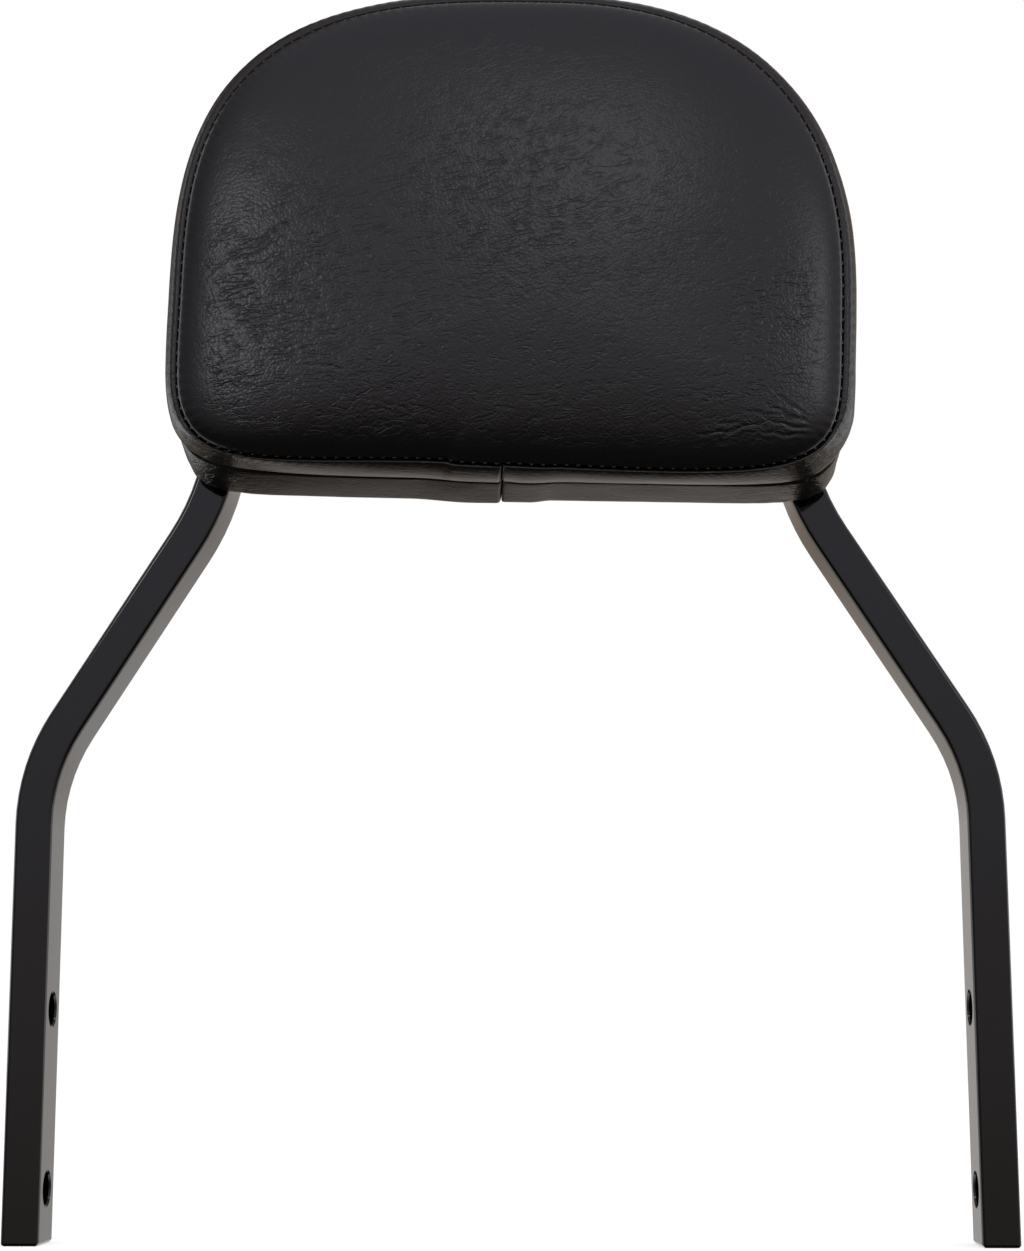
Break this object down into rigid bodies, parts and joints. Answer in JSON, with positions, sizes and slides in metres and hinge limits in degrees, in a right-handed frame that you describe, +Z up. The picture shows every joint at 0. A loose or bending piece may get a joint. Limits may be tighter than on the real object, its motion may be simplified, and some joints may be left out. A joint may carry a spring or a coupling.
{
  "type": "sissy bar",
  "caption": "Motorcycle passenger backrest: a bent flat-bar hoop with bolt holes through its legs and a domed, stitched pad held on welded cross straps.",
  "frame": {"origin": "midway between the two legs, at the centre of their two-bolt pattern and at mid depth of the bar", "axes": "+X to the right seen from the front, along the leg holes; +Y to the back, away from the passenger; +Z up along the legs"},
  "size_m": [0.316, 0.0715, 0.3941],
  "materials": {
    "hoop_paint": "gloss black paint on bent flat steel bar",
    "strap_paint": "gloss black paint on welded steel straps",
    "board_wood": "dark stained plywood base board",
    "back_sheet": "fine grained black plastic sheet",
    "foam": "open cell upholstery foam",
    "panel_vinyl": "black leather-grain vinyl with a soft sheen and fine wrinkles",
    "band_vinyl": "black leather-grain vinyl, drawn tight between stitched seams",
    "zinc_steel": "zinc plated steel fasteners"
  },
  "bodies": {
    "root": {"hoop_bar": "hoop_paint", "lower_strap": "strap_paint", "upper_strap": "strap_paint", "lower_strap_welds": "strap_paint", "upper_strap_welds": "strap_paint", "base_board": "board_wood", "back_cover": "back_sheet", "foam_core": "foam", "front_panel": "panel_vinyl", "front_border_band": "band_vinyl", "rear_border_band": "band_vinyl", "tee_nut_lower_left": "zinc_steel", "bolt_lower_left": "zinc_steel", "spring_washer_lower_left": "zinc_steel", "flat_washer_lower_left": "zinc_steel", "tee_nut_lower_right": "zinc_steel", "bolt_lower_right": "zinc_steel", "spring_washer_lower_right": "zinc_steel", "flat_washer_lower_right": "zinc_steel", "tee_nut_upper_left": "zinc_steel", "bolt_upper_left": "zinc_steel", "spring_washer_upper_left": "zinc_steel", "flat_washer_upper_left": "zinc_steel", "tee_nut_upper_right": "zinc_steel", "bolt_upper_right": "zinc_steel", "spring_washer_upper_right": "zinc_steel", "flat_washer_upper_right": "zinc_steel"}
  },
  "joints": []
}
